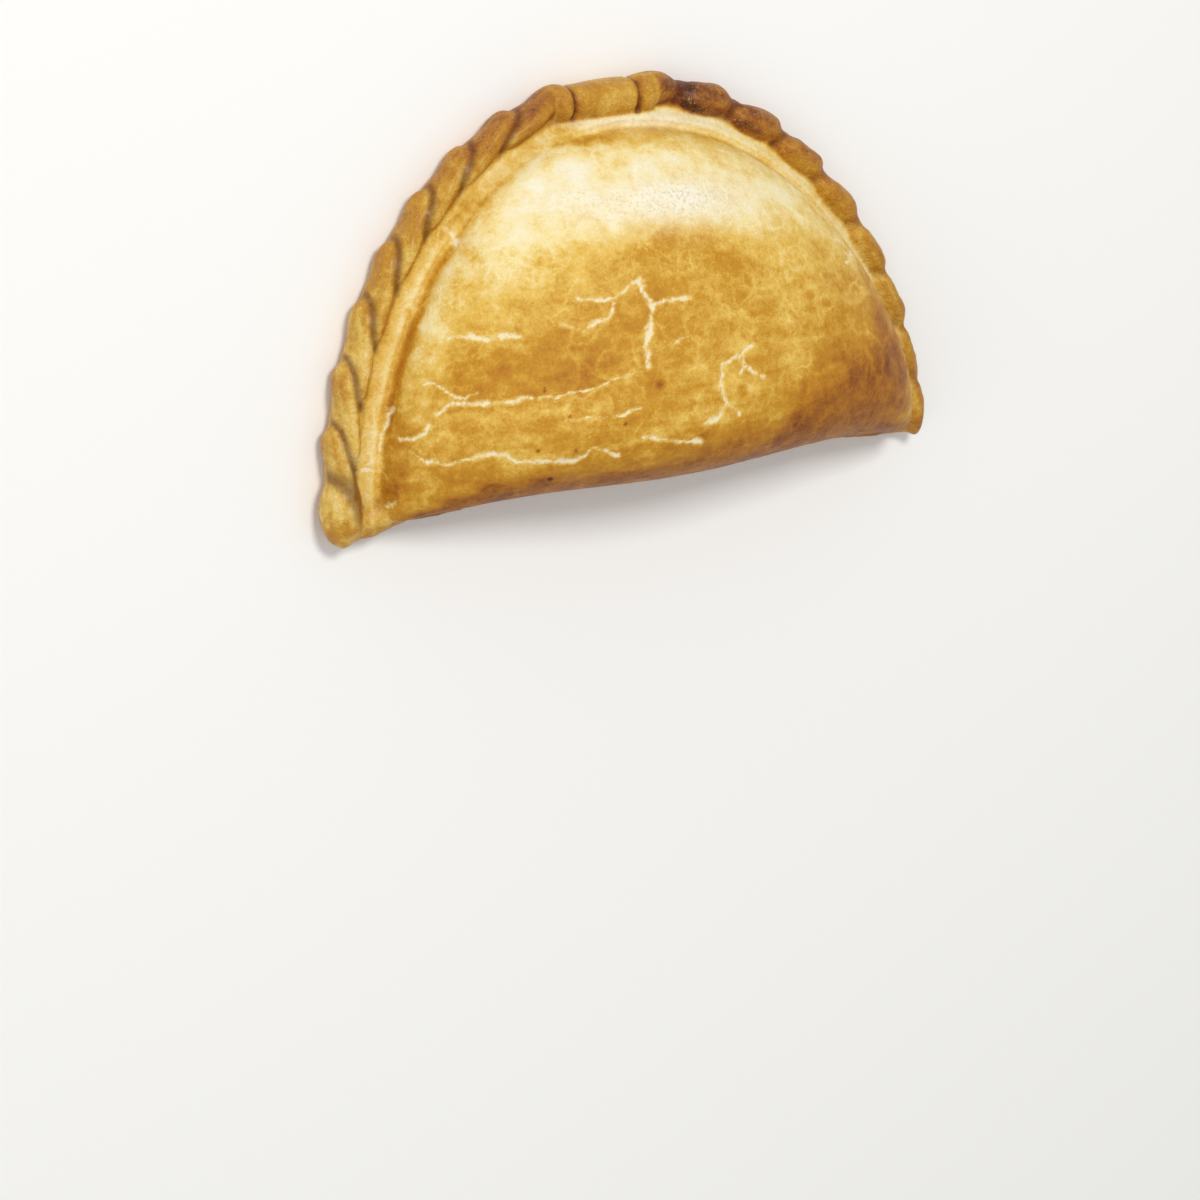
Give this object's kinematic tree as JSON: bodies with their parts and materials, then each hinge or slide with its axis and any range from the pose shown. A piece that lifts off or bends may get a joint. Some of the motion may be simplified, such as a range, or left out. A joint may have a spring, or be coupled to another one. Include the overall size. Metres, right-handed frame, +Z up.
{
  "type": "empanada",
  "caption": "Whole baked empanada lying on its flat base: a domed half-moon of folded dough with a straight fold, a rope-crimped curved rim and a plain pressed tab.",
  "frame": {"origin": "middle of the bounding box's bottom, on the flat base that the pie lies on", "axes": "+X along the straight fold, from its left horn to its right horn with the fold nearest; +Y from the fold to the rope-crimped rim; +Z up, from the base to the top of the dome"},
  "size_m": [0.1376, 0.0824, 0.037],
  "materials": {
    "crust": "baked dough, golden and glazed, with pale cracks and darker brown crimps"
  },
  "bodies": {
    "root": {"empanada": "crust"}
  },
  "joints": []
}
